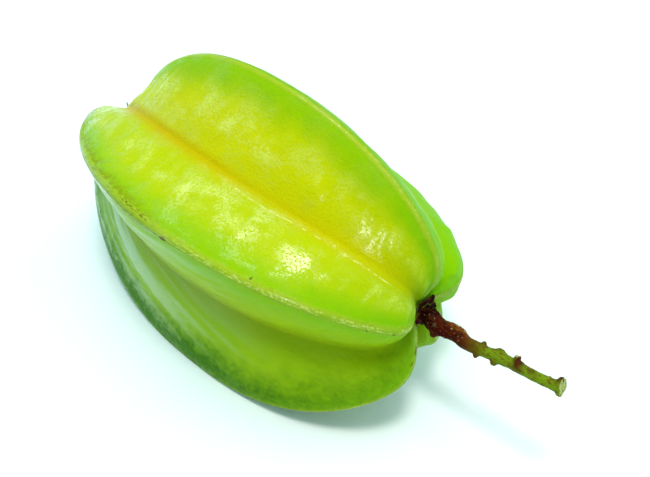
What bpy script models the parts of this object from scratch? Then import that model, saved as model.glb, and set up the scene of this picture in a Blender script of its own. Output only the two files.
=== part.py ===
"""Star fruit: one whole carambola lying on two of its five ribs, with its stalk still on.

The fruit's own axis is X, from the blossom end (-X) to the stalk end (+X), and azimuths about
it run from +Y towards +Z. The dimensions below are in millimetres and degrees, measured from
the middle of that axis. The model is in metres, +Z up, and its origin is on the table under
the middle of the whole part.
"""

import math
from collections import namedtuple

import bmesh
import bpy
from mathutils import Matrix, Vector
from mathutils.bvhtree import BVHTree

MM = 0.001

# Each rib's crest. azimuth is where it stands at both ends, twist what it loses for every
# HALF_LENGTH along the axis, and bow what it gains at the middle. blossom and stalk are how far
# the rib reaches along the axis, and a fullness of 2 makes that end of its outline an ellipse.
Rib = namedtuple("Rib", "azimuth twist bow radius blossom stalk blossom_fullness stalk_fullness")
RIBS = (
    Rib(7, -0.5, -6, 24.8, 51, 52.3, 2.0, 2.4),
    Rib(81, 0.5, 1.5, 32.7, 44.5, 51, 2.45, 2.05),
    Rib(153.5, 1.5, -1, 37.5, 54, 53.5, 1.8, 2.2),
    Rib(223.5, 2.5, 1, 38.9, 55.4, 53.5, 2.2, 2.4),
    Rib(291, 4, -1, 29.2, 51, 51.7, 2.0, 2.2),
)
# The valley after each rib: its depth as a radius, how far it stands past halfway to the next
# rib at both ends, and how much further at the middle.
Valley = namedtuple("Valley", "radius offset bow")
VALLEYS = (
    Valley(22, 0, 0),
    Valley(23.2, -1, 7),
    Valley(26.3, -1, 0.5),
    Valley(22, 0, 0),
    Valley(21.5, 0, 0),
)
HALF_LENGTH = 50
VALLEY_BLOSSOM = 49.1
VALLEY_STALK = 56.2
VALLEY_BLOSSOM_FULLNESS = 2.3
VALLEY_STALK_FULLNESS = 2.1
RIB_TAPER = 1.1
VALLEY_TAPER = 1.35
CREST_WIDTH = 2.6
VALLEY_WIDTH = 2.4
BLUNTNESS = 1.9
# How far the flanks swell, how much further towards the ends, and how soon that swelling rises
# from nothing at an end to all of it.
FLANK_BULGE = 1.3
END_BULGE = 1.2
BULGE_RISE = 1.6
# Near the ends, where the ribs shrink to nothing, their rounding stays below these limits.
LEAST_RADIUS = 0.1
MOST_ROUNDING = 3
# The pits at the two ends: where their floor lies on the axis, how wide they are, and the share
# of the way to an end at which its pit has all of its depth.
BLOSSOM_FLOOR = 47.7
BLOSSOM_PIT = 3.9
STALK_FLOOR = 42.9
STALK_PIT = 9.7
PIT_REACH = 0.6
# The two lowest crests are pressed flat at this depth below the axis, where the fruit rests.
REST_DEPTH = 27.0
COLUMNS_PER_RIB = 16
RINGS = 52
COLUMN_SPREAD = 0.6

# Stalk: points along its middle, each with the stalk's radius there.
STALK_ROUTE = (
    ((44.0, 0.0, 0.0), 1.6),
    ((45.5, -0.25, -0.2), 1.75),
    ((47.2, -0.85, -0.7), 1.8),
    ((49.6, -0.8, -0.6), 1.75),
    ((52.6, -0.4, -0.3), 1.65),
    ((55.6, -0.6, -0.6), 1.45),
    ((59.2, -0.3, -0.1), 1.25),
    ((62.6, 0.0, 0.4), 1.2),
    ((66.2, 0.2, 1.0), 1.2),
    ((71.0, 0.3, 1.5), 1.12),
    ((75.0, 0.5, 2.1), 1.1),
    ((76.8, 0.6, 2.5), 1.2),
    ((77.9, 0.7, 2.9), 1.3),
)
# Knobs on the stalk, where side stalks and buds have dropped off: how far along the axis they
# stand, the azimuth they point to, their reach from the stalk's middle and their radius.
Knob = namedtuple("Knob", "along azimuth reach radius")
KNOBS = (
    Knob(48.6, 60, 2.3, 1.2),
    Knob(47.4, 235, 2.7, 0.8),
    Knob(53.4, 45, 2.3, 1.0),
    Knob(54.6, 215, 2.1, 1.0),
    Knob(57.8, 225, 1.9, 0.7),
    Knob(59.6, 40, 1.9, 0.6),
    Knob(62.0, 215, 2.1, 0.6),
    Knob(63.6, 35, 1.8, 0.8),
)
# Short side stalks that were cut off square, stated in the same way.
CUT_STUBS = (
    Knob(67.4, 60, 2.0, 0.7),
    Knob(77.8, 50, 2.2, 0.8),
    Knob(77.8, 225, 1.9, 0.8),
)
# How far knobs lean towards the stalk's cut end, and how much a stub narrows to its own end.
KNOB_LEAN = 0.15
STUB_TAPER = 0.9
KNOB_SEGMENTS = 10
KNOB_RINGS = 8

SEPAL_COUNT = 5
SEPAL_FIRST_AZIMUTH = 46
SEPAL_STEP = 72
SEPAL_INNER_RADIUS = 2.1
SEPAL_LENGTH = 2.8
SEPAL_WIDTH = 1.9
SEPAL_THICKNESS = 0.4
# How far a sepal's middle is raised from the skin, which leaves a small gap below it.
SEPAL_LIFT = 0.88
SEPAL_SEGMENTS = 12
SEPAL_RINGS = 8
# Somewhere beyond the stalk end, from where the skin below each sepal is looked up.
LOOK_FROM = 60

STYLE_ROUTE = (
    ((-48.25, 0.15, 0.25), 0.5),
    ((-49.6, 0.6, 0.7), 0.4),
    ((-51.3, 1.2, 1.5), 0.15),
)

TUBE_SIDES = 12
TUBE_STEPS = 4
MERGE_DISTANCE = 0.02


def soft_step(value, end):
    """Go smoothly from 0 at 0 to 1 at the end value."""
    t = min(value / end, 1.0)
    return t * t * (3 - 2 * t)


def rounded_share(u, crest, valley):
    """Turn a share of the way from crest (0) to valley (1) into one that is level at both."""
    def raw(x):
        near_crest = math.hypot(1, crest) * math.hypot(x, crest)
        near_valley = math.hypot(1, valley) * math.hypot(1 - x, valley)
        return near_crest - near_valley - x
    return max((raw(u) - raw(0)) / (raw(1) - raw(0)), 0.0)


def crest_azimuth(rib, along):
    share = along / HALF_LENGTH
    return rib.azimuth - rib.twist * share + rib.bow * (1 - share * share)


def flank_radius(crest_radius, valley_radius, share):
    """Radius of the straight line from a crest to the valley 36 degrees away."""
    half = math.pi / 5
    across = crest_radius * math.sin(half * share) + valley_radius * math.sin(half * (1 - share))
    return crest_radius * valley_radius * math.sin(half) / max(across, 1e-9)


def fruit_point(axial, turn):
    """Point of the skin, for axial from -1 to 1 along the axis and turn from 0 to 5 ribs."""
    nearest = round(turn)
    side = 1 if turn >= nearest else -1
    u = abs(turn - nearest) * 2
    u -= COLUMN_SPREAD * math.sin(math.tau * u) / math.tau
    rib = RIBS[nearest % 5]
    neighbour = RIBS[(nearest + side) % 5]
    valley = VALLEYS[(nearest if side > 0 else nearest - 1) % 5]

    girth = math.sqrt(max(1 - axial * axial, 0.0))
    crest_radius = rib.radius * girth ** RIB_TAPER
    valley_radius = valley.radius * girth ** VALLEY_TAPER
    half = math.pi / 5
    crest_rounding = CREST_WIDTH / half / max(crest_radius, LEAST_RADIUS)
    valley_rounding = VALLEY_WIDTH / half / max(valley_radius, LEAST_RADIUS)
    crest_rounding = min(crest_rounding, MOST_ROUNDING)
    valley_rounding = min(valley_rounding, MOST_ROUNDING)
    share = rounded_share(u, crest_rounding, valley_rounding)
    radius = flank_radius(crest_radius, valley_radius, share)
    fullness = FLANK_BULGE + END_BULGE * axial ** 4
    radius += fullness * min(girth * BULGE_RISE, 1) * 4 * share * (1 - share)

    if axial < 0:
        crest_reach, crest_fullness = rib.blossom, rib.blossom_fullness
        valley_reach, valley_fullness = VALLEY_BLOSSOM, VALLEY_BLOSSOM_FULLNESS
        floor, pit = BLOSSOM_FLOOR, BLOSSOM_PIT
    else:
        crest_reach, crest_fullness = rib.stalk, rib.stalk_fullness
        valley_reach, valley_fullness = VALLEY_STALK, VALLEY_STALK_FULLNESS
        floor, pit = STALK_FLOOR, STALK_PIT
    blend = share ** BLUNTNESS
    crest_along = crest_reach * abs(axial) ** (2 / crest_fullness)
    valley_along = valley_reach * abs(axial) ** (2 / valley_fullness)
    along = crest_along + blend * (valley_along - crest_along)
    pit_depth = crest_reach + blend * (valley_reach - crest_reach) - floor
    along -= soft_step(abs(axial), PIT_REACH) * pit_depth * math.exp(-(radius / pit) ** 2)
    along = math.copysign(along, axial)

    crest_at = crest_azimuth(rib, along)
    gap = (crest_azimuth(neighbour, along) - crest_at + 180) % 360 - 180
    middle = 1 - (along / HALF_LENGTH) ** 2
    valley_at = crest_at + gap / 2 + valley.offset + valley.bow * middle
    azimuth = math.radians(crest_at + u * (valley_at - crest_at))
    height = max(radius * math.sin(azimuth), -REST_DEPTH)
    return Vector((along, radius * math.cos(azimuth), height)) * MM


def make_material(name, colour, roughness):
    material = bpy.data.materials.new(name)
    material.use_nodes = True
    shader = material.node_tree.nodes["Principled BSDF"]
    shader.inputs["Base Color"].default_value = colour
    shader.inputs["Roughness"].default_value = roughness
    shader.inputs["Metallic"].default_value = 0.0
    return material


def make_object(name, mesh, material, collection, root):
    mesh.materials.clear()
    mesh.materials.append(material)
    mesh.shade_smooth()
    piece = bpy.data.objects.new(name, mesh)
    piece.parent = root
    collection.objects.link(piece)
    return piece


def fruit_mesh():
    """A sphere with its poles on X, whose points all move to the skin of the ribbed fruit."""
    bm = bmesh.new()
    bmesh.ops.create_uvsphere(bm, u_segments=5 * COLUMNS_PER_RIB, v_segments=RINGS, radius=1)
    for vertex in bm.verts:
        across, up, axial = vertex.co
        turn = math.atan2(up, across) / math.tau * 5 % 5
        vertex.co = fruit_point(axial, turn)
    mesh = bpy.data.meshes.new("fruit")
    bm.to_mesh(mesh)
    bm.free()
    return mesh


def tube_mesh(name, route):
    """A closed tube along a route of points, each with the tube's radius."""
    curve = bpy.data.curves.new(name, "CURVE")
    curve.dimensions = "3D"
    curve.bevel_depth = MM
    curve.bevel_resolution = (TUBE_SIDES - 4) // 2
    curve.use_fill_caps = True
    spline = curve.splines.new("BEZIER")
    spline.resolution_u = TUBE_STEPS
    spline.bezier_points.add(len(route) - 1)
    for point, (place, radius) in zip(spline.bezier_points, route):
        point.co = Vector(place) * MM
        point.radius = radius
        point.handle_left_type = "AUTO"
        point.handle_right_type = "AUTO"
    holder = bpy.data.objects.new(name, curve)
    bpy.context.scene.collection.objects.link(holder)
    depsgraph = bpy.context.evaluated_depsgraph_get()
    mesh = bpy.data.meshes.new_from_object(holder.evaluated_get(depsgraph))
    bpy.data.objects.remove(holder)
    bpy.data.curves.remove(curve)
    bm = bmesh.new()
    bm.from_mesh(mesh)
    bmesh.ops.remove_doubles(bm, verts=bm.verts, dist=MERGE_DISTANCE * MM)
    bm.to_mesh(mesh)
    bm.free()
    return mesh


def stalk_middle(along):
    """The stalk's middle at a place along the axis."""
    places = [place for place, _ in STALK_ROUTE]
    for start, end in zip(places, places[1:]):
        if along <= end[0]:
            share = (along - start[0]) / (end[0] - start[0])
            return Vector(start).lerp(Vector(end), share)
    return Vector(places[-1])


def knob_mesh(knob, square):
    """A knob from the stalk's middle outwards: an egg, or a cylinder where it was cut square."""
    azimuth = math.radians(knob.azimuth)
    outward = Vector((KNOB_LEAN, math.cos(azimuth), math.sin(azimuth))).normalized()
    bm = bmesh.new()
    if square:
        bmesh.ops.create_cone(bm, segments=KNOB_SEGMENTS, radius1=knob.radius,
                              radius2=knob.radius * STUB_TAPER, depth=knob.reach, cap_ends=True)
    else:
        bmesh.ops.create_uvsphere(bm, u_segments=KNOB_SEGMENTS, v_segments=KNOB_RINGS, radius=1)
        bmesh.ops.scale(bm, verts=bm.verts, vec=(knob.radius, knob.radius, knob.reach / 2))
    turn = outward.to_track_quat("Z", "Y").to_matrix()
    middle = stalk_middle(knob.along) + outward * knob.reach / 2
    for vertex in bm.verts:
        vertex.co = (turn @ vertex.co + middle) * MM
    mesh = bpy.data.meshes.new("knob")
    bm.to_mesh(mesh)
    bm.free()
    return mesh


def make_stalk(material, collection, root, cutters):
    """The stalk and its knobs, grown together as one solid."""
    stalk = make_object("stalk", tube_mesh("stalk", STALK_ROUTE), material, collection, root)
    knobs = [knob_mesh(knob, False) for knob in KNOBS]
    knobs += [knob_mesh(stub, True) for stub in CUT_STUBS]
    for number, mesh in enumerate(knobs, 1):
        knob = bpy.data.objects.new(f"stalk_knob_{number}", mesh)
        knob.parent = root
        knob.hide_render = True
        knob.display_type = "WIRE"
        cutters.objects.link(knob)
        union = stalk.modifiers.new(knob.name, "BOOLEAN")
        union.operation = "UNION"
        union.solver = "EXACT"
        union.object = knob
    return stalk


def make_sepals(material, collection, root, skin):
    """Dried sepals that lie on the floor of the stalk's pit, round the stalk's foot."""
    for number in range(SEPAL_COUNT):
        azimuth = math.radians(SEPAL_FIRST_AZIMUTH + number * SEPAL_STEP)
        outward = Vector((0, math.cos(azimuth), math.sin(azimuth)))
        inner, outer = (
            skin.ray_cast((outward * radius + Vector((LOOK_FROM, 0, 0))) * MM,
                          Vector((-1, 0, 0)))[0]
            for radius in (SEPAL_INNER_RADIUS, SEPAL_INNER_RADIUS + SEPAL_LENGTH))
        along = (outer - inner).normalized()
        across = Vector((1, 0, 0)).cross(outward)
        away = along.cross(across)

        bm = bmesh.new()
        bmesh.ops.create_uvsphere(bm, u_segments=SEPAL_SEGMENTS, v_segments=SEPAL_RINGS,
                                  radius=0.5 * MM)
        bmesh.ops.scale(bm, verts=bm.verts, vec=(SEPAL_LENGTH, SEPAL_WIDTH, SEPAL_THICKNESS))
        mesh = bpy.data.meshes.new(f"sepal_{number + 1}")
        bm.to_mesh(mesh)
        bm.free()
        sepal = make_object(mesh.name, mesh, material, collection, root)
        sepal.location = (inner + outer) / 2 + away * SEPAL_LIFT * MM
        sepal.rotation_euler = Matrix((along, across, away)).transposed().to_euler()


def stand_on_table(root, collection):
    """Move the root so that the origin is under the middle of everything, on the table."""
    bpy.context.view_layer.update()
    depsgraph = bpy.context.evaluated_depsgraph_get()
    corners = []
    for piece in collection.objects:
        if piece.type == "MESH":
            mesh = piece.evaluated_get(depsgraph).data
            corners += [piece.matrix_world @ vertex.co for vertex in mesh.vertices]
    low = Vector(map(min, zip(*corners)))
    high = Vector(map(max, zip(*corners)))
    root.location = Vector((-(low.x + high.x) / 2, -(low.y + high.y) / 2, -low.z))


def main():
    for old in list(bpy.data.objects):
        bpy.data.objects.remove(old)
    collection = bpy.data.collections.new("star_fruit")
    cutters = bpy.data.collections.new("stalk_knobs")
    for group in (collection, cutters):
        bpy.context.scene.collection.children.link(group)
    root = bpy.data.objects.new("star_fruit_root", None)
    collection.objects.link(root)

    skin = make_material("waxy_skin", (0.40, 0.55, 0.02, 1), 0.3)
    bark = make_material("stalk_bark", (0.13, 0.08, 0.03, 1), 0.6)
    husk = make_material("dried_sepal", (0.06, 0.02, 0.01, 1), 0.8)
    dried = make_material("dried_style", (0.20, 0.24, 0.10, 1), 0.7)

    fruit = make_object("fruit", fruit_mesh(), skin, collection, root)
    make_stalk(bark, collection, root, cutters)
    surface = BVHTree.FromPolygons(
        [vertex.co for vertex in fruit.data.vertices],
        [polygon.vertices for polygon in fruit.data.polygons])
    make_sepals(husk, collection, root, surface)
    make_object("style_remnant", tube_mesh("style_remnant", STYLE_ROUTE), dried, collection, root)
    stand_on_table(root, collection)


main()
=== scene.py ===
"""Looks of one star fruit that lies on two of its five ribs, with its stalk still on.

The shapes stand in the frame of the CAD model, in metres, +Z up. The fruit's own axis
is parallel to X: its blossom end points to -X and its stalk to +X. Azimuths about that axis
run from +Y towards +Z.
"""

import math
from collections import namedtuple

import bmesh
import bpy
from bpy.props import FloatProperty, FloatVectorProperty, IntProperty, PointerProperty
from bpy.types import Operator, Panel, PropertyGroup
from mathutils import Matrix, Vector, noise


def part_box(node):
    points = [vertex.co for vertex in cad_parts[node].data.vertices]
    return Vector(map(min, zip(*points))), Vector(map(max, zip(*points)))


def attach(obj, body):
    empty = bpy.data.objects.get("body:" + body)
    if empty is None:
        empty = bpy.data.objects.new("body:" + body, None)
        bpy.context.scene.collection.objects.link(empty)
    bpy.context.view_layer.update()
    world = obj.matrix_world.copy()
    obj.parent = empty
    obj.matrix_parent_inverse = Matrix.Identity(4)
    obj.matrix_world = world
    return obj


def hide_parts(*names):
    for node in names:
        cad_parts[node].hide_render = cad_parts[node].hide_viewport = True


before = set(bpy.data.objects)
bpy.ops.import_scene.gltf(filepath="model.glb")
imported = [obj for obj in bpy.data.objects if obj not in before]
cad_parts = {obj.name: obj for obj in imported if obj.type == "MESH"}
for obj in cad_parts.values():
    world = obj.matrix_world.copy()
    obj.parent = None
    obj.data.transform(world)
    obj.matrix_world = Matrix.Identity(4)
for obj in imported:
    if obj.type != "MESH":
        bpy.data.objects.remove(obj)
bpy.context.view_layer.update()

bl_info = {
    "name": "Star Fruit",
    "version": (1, 0, 0),
    "blender": (4, 5, 0),
    "location": "3D View > Sidebar > Star Fruit",
    "description": "Makes a ribbed star fruit with its stalk, calyx and style, and a stage",
    "category": "Object",
}

MM = 0.001
# The middle of the fruit's own axis. Shapes are made round it and then moved to this place.
MIDDLE = Vector((-12.5017, 4.3733, 27.0)) * MM

RIBS = 5
HALF_RIB = math.pi / RIBS
FRONT_RIB = 2
# Limits that keep the ribs' cross-section in order near the ends of the axis.
LEAST_RADIUS = 1e-4
LEAST_CHORD = 1e-9
MOST_ROUNDING = 3
# How fast the flanks' swelling grows with girth, and how far along the axis, from its middle (0)
# to an end (1), a pit has its full effect.
BULGE_RISE = 1.6
PIT_REACH = 0.6
# How far apart in a pattern neighbouring ribs lie, so that no two are alike.
WAVE_SHIFT = 7.3
FOLD_SHIFT = 5.1
LUMP_SHIFT = 0.05
# The share of the small lumps that is left on crests and in valleys.
LEAST_LUMPS = 0.15


# ---- Node helpers ----


def node_math(operation, swapped=False):
    """A method that adds a Math node, with the value itself as its first or last input."""
    def method(self, *others):
        values = (*others, self) if swapped else (self, *others)
        return self.maker.math(operation, *values)
    return method


class Value:
    """A node's output, which takes part in sums as a number does."""

    def __init__(self, maker, socket):
        self.maker = maker
        self.socket = socket

    __add__ = __radd__ = node_math("ADD")
    __sub__ = node_math("SUBTRACT")
    __rsub__ = node_math("SUBTRACT", swapped=True)
    __mul__ = __rmul__ = node_math("MULTIPLY")
    __truediv__ = node_math("DIVIDE")
    __rtruediv__ = node_math("DIVIDE", swapped=True)
    __pow__ = node_math("POWER")
    __lt__ = node_math("LESS_THAN")
    __gt__ = node_math("GREATER_THAN")
    __abs__ = node_math("ABSOLUTE")
    at_least = node_math("MAXIMUM")
    at_most = node_math("MINIMUM")
    root = node_math("SQRT")
    sine = node_math("SINE")
    cosine = node_math("COSINE")
    sign = node_math("SIGN")
    rounded = node_math("ROUND")
    wrapped = node_math("WRAP")

    def clamped(self):
        return self.at_least(0).at_most(1)

    def bell(self, width):
        """Fall smoothly from 1 at 0 to about a third at the width, and on towards 0."""
        return self.maker.math("EXPONENT", (self / width) ** 2 * -1.0)

    def toward(self, other, share):
        """Go from this value to the other as the share goes from 0 to 1."""
        return self + (other - self) * share

    def step(self, start, end):
        """Rise smoothly from 0 at the start value to 1 at the end value."""
        return self.maker.add(
            "ShaderNodeMapRange",
            {"interpolation_type": "SMOOTHSTEP"},
            {"Value": self, "From Min": start, "From Max": end},
        )


class NodeMaker:
    """Adds nodes to one tree, of a material or of Geometry Nodes."""

    def __init__(self, tree):
        self.tree = tree

    def feed(self, socket, value):
        if isinstance(value, Value):
            self.tree.links.new(value.socket, socket)
        else:
            socket.default_value = value

    def add(self, kind, settings=None, values=None, take=0):
        """Add a node with these settings and input values, and give the output to take.

        take can also be a tuple, which gives a list of outputs.
        """
        node = self.tree.nodes.new(kind)
        for name, setting in (settings or {}).items():
            if name == "stops":
                ramp = node.color_ramp.elements
                while len(ramp) < len(setting):
                    ramp.new(1.0)
                for stop, (position, colour) in zip(ramp, setting):
                    stop.position = position
                    stop.color = colour if len(colour) == 4 else (*colour, 1.0)
            elif name == "choices":
                while len(node.index_switch_items) < setting:
                    node.index_switch_items.new()
            else:
                setattr(node, name, setting)
        for name, value in (values or {}).items():
            self.feed(node.inputs[name], value)
        if isinstance(take, tuple):
            return [Value(self, node.outputs[name]) for name in take]
        return Value(self, node.outputs[take]) if len(node.outputs) else None

    def math(self, operation, *values):
        return self.add("ShaderNodeMath", {"operation": operation}, dict(enumerate(values)))

    def vector(self, x, y, z):
        return self.add("ShaderNodeCombineXYZ", None, {"X": x, "Y": y, "Z": z})

    def split(self, vector):
        return self.add("ShaderNodeSeparateXYZ", None, {0: vector}, ("X", "Y", "Z"))

    def vectors(self, operation, *values):
        return self.add("ShaderNodeVectorMath", {"operation": operation}, dict(enumerate(values)))

    def stretch(self, vector, amount):
        """Multiply a vector by a vector of three plain numbers."""
        return self.vectors("MULTIPLY", vector, tuple(amount))

    def scale(self, vector, amount):
        return self.add("ShaderNodeVectorMath", {"operation": "SCALE"},
                        {0: vector, "Scale": amount})

    def mix(self, share, first, second):
        """Mix two colours."""
        return self.add("ShaderNodeMix", {"data_type": "RGBA"},
                        {0: share, 6: first, 7: second}, 2)

    def ramp(self, value, *stops):
        """A colour that changes with a value. A stop is a value and its colour."""
        return self.add("ShaderNodeValToRGB", {"stops": stops}, {"Fac": value})

    def noise(self, place, scale, detail=2.0, roughness=0.5):
        return self.add("ShaderNodeTexNoise", None, {
            "Vector": place, "Scale": scale, "Detail": detail, "Roughness": roughness})


class GeometryMaker(NodeMaker):
    """A new Geometry Nodes tree with named inputs, which makes one mesh."""

    def __init__(self, name, inputs):
        super().__init__(bpy.data.node_groups.new(name, "GeometryNodeTree"))
        for label in inputs:
            self.tree.interface.new_socket(label, in_out="INPUT", socket_type="NodeSocketFloat")
        self.tree.interface.new_socket("Mesh", in_out="OUTPUT", socket_type="NodeSocketGeometry")
        given = self.tree.nodes.new("NodeGroupInput")
        self.given = {label: Value(self, given.outputs[label]) for label in inputs}

    def whole(self, value):
        return self.add("FunctionNodeFloatToInt", {"rounding_mode": "ROUND"}, {0: value})

    def store(self, geometry, name, value):
        return self.add(
            "GeometryNodeStoreNamedAttribute", {"data_type": "FLOAT", "domain": "POINT"},
            {"Geometry": geometry, "Name": name, "Value": value})

    def stored(self, name):
        return self.add("GeometryNodeInputNamedAttribute", {"data_type": "FLOAT"},
                        {"Name": name})

    def finish(self, geometry, material):
        """End the tree with real, smooth, finished geometry."""
        geometry = self.add("GeometryNodeRealizeInstances", None, {"Geometry": geometry})
        geometry = self.add("GeometryNodeSetShadeSmooth", None, {"Geometry": geometry})
        geometry = self.add("GeometryNodeSetMaterial", None,
                            {"Geometry": geometry, "Material": material})
        end = self.tree.nodes.new("NodeGroupOutput")
        self.tree.links.new(geometry.socket, end.inputs["Mesh"])


def run_tree(maker, name, values, collection):
    """Evaluate a Geometry Nodes tree with these inputs, and keep the result as a plain mesh."""
    holder = bpy.data.objects.new(name, bpy.data.meshes.new(name))
    collection.objects.link(holder)
    modifier = holder.modifiers.new(name, "NODES")
    modifier.node_group = maker.tree
    for item in maker.tree.interface.items_tree:
        if item.item_type == "SOCKET" and item.in_out == "INPUT":
            modifier[item.identifier] = float(values[item.name])
    depsgraph = bpy.context.evaluated_depsgraph_get()
    mesh = bpy.data.meshes.new_from_object(holder.evaluated_get(depsgraph))
    holder.modifiers.clear()
    empty = holder.data
    holder.data = mesh
    bpy.data.meshes.remove(empty)
    mesh.name = name
    return holder


class Finish:
    """A new material whose Principled shader takes constants and linked values."""

    def __init__(self, name, constants):
        self.material = bpy.data.materials.new(name)
        self.material.use_nodes = True
        self.maker = NodeMaker(self.material.node_tree)
        self.shader = self.material.node_tree.nodes["Principled BSDF"]
        for socket, value in constants.items():
            self.shader.inputs[socket].default_value = value

    def attribute(self, name):
        return self.maker.add("ShaderNodeAttribute", {"attribute_name": name}, take="Fac")

    def place(self):
        return self.maker.add("ShaderNodeTexCoord", take="Object")

    def link(self, socket, value):
        self.maker.feed(self.shader.inputs[socket], value)

    def bump(self, height, strength, distance):
        normal = self.maker.add("ShaderNodeBump", None, {
            "Height": height, "Strength": strength, "Distance": distance})
        self.link("Normal", normal)


# ---- Settings ----


def lengths(description, millimetres):
    return FloatVectorProperty(description=description, size=RIBS, precision=4,
                               unit="LENGTH", default=[value * MM for value in millimetres])


def angles(description, degrees):
    return FloatVectorProperty(description=description, size=RIBS,
                               unit="ROTATION", default=[math.radians(d) for d in degrees])


def numbers(description, values):
    return FloatVectorProperty(description=description, size=RIBS, default=values)


def length(description, millimetres):
    return FloatProperty(description=description, precision=5, unit="LENGTH",
                         default=millimetres * MM)


def angle(description, degrees):
    return FloatProperty(description=description, unit="ROTATION", default=math.radians(degrees))


def number(description, value):
    return FloatProperty(description=description, default=value)


def direction(description, value):
    return FloatVectorProperty(description=description, subtype="DIRECTION", default=value)


def colour(description, value):
    return FloatVectorProperty(description=description, size=4, subtype="COLOR",
                               min=0.0, max=1.0, default=(*value, 1.0))


def labelled(group):
    """Give each setting in a group a label, which is its own name in plain words."""
    for name, setting in group.__annotations__.items():
        setting.keywords["name"] = name.replace("_", " ").capitalize()
    return group


@labelled
class FruitSettings(PropertyGroup):
    """Shape of the fruit. A list holds one value for each rib, or for the valley after it."""

    azimuth: angles("Where each crest stands at both ends", (7, 81, 153.5, 223.5, 291))
    twist: angles("What each crest loses towards the stalk", (-0.5, 0.5, 1.5, 2.5, 4))
    bow: angles("What each crest gains at its middle", (-6, 1.5, -1, 1, -1))
    radius: lengths("How far each crest stands out", (24.8, 32.7, 37.5, 38.9, 29.2))
    blossom_reach: lengths("How far each rib reaches towards the blossom end",
                           (51, 44.5, 54, 55.4, 51))
    stalk_reach: lengths("How far each rib reaches towards the stalk", (52.3, 51, 53.5, 53.5, 51.7))
    blossom_fullness: numbers("2 is an ellipse", (2.0, 2.45, 1.8, 2.2, 2.0))
    stalk_fullness: numbers("2 is an ellipse", (2.4, 2.05, 2.2, 2.4, 2.2))
    valley_radius: lengths("Depth of the valley after each rib", (22, 23.2, 26.3, 22, 21.5))
    valley_offset: angles("How far each valley stands past halfway", (0, -1, -1, 0, 0))
    valley_bow: angles("What that gains at the middle", (0, 7, 0.5, 0, 0))
    ripeness: numbers("How yellow each valley has turned", (0.3, 1.0, 0.5, 0.4, 0.3))
    fold_lean: numbers("0 for folds across each valley's flanks, 1 for along them",
                       (0.0, 0.0, 1.0, 1.0, 0.5))
    crest_green: numbers("How deep a green each crest is", (0.0, 0.12, 0.0, 1.0, 0.3))
    sunned: numbers("How much yellower each rib is", (0.0, 1.0, 0.15, 0.0, 0.0))

    half_length: length("Half of the length along which ribs twist", 50)
    valley_blossom: length("Reach of valleys at the blossom end", 49.1)
    valley_stalk: length("Reach of valleys at the stalk end", 56.2)
    valley_blossom_fullness: number("2 is an ellipse", 2.3)
    valley_stalk_fullness: number("2 is an ellipse", 2.1)
    rib_taper: number("How soon ribs sink towards the ends", 1.1)
    valley_taper: number("How soon valleys sink towards the ends", 1.35)
    crest_width: length("Rounding of the crests", 2.6)
    valley_width: length("Rounding of the valleys", 2.4)
    bluntness: number("How far the ribs' ends keep their own reach", 1.9)
    flank_bulge: length("Swelling of the flanks", 1.3)
    end_bulge: length("Further swelling towards the ends", 1.2)
    blossom_floor: length("How far along the axis the bottom of the blossom pit is", 47.7)
    blossom_pit: length("Width of the pit at the blossom end", 3.9)
    stalk_floor: length("How far along the axis the bottom of the stalk pit is", 42.9)
    stalk_pit: length("Width of the pit at the stalk end", 9.7)
    rest_depth: length("Where the two low crests are pressed flat", 27.0)
    column_spread: number("Crowding of the mesh at crests and valleys", 0.6)

    seam_width: length("Half the width of the raised seam on each crest", 0.9)
    seam_height: length("How far that seam stands up", 0.22)
    wave_length: length("Distance between the broad waves of the flanks", 11)
    wave_height: length("Height of the broad waves", 1.1)
    fold_length: length("How long the shallow folds of the flanks are", 12)
    fold_width: length("Distance between those folds", 4)
    fold_height: length("Height of those folds", 0.8)
    lump_length: length("Distance between small lumps", 2.6)
    lump_height: length("Height of the small lumps", 0.16)
    crease_width: length("Width of the fold along each valley", 0.5)
    crease_depth: length("Depth of that fold", 0.12)

    columns: IntProperty(description="Mesh columns round the fruit", default=400)
    rings: IntProperty(description="Mesh rings along the fruit", default=240)


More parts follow.
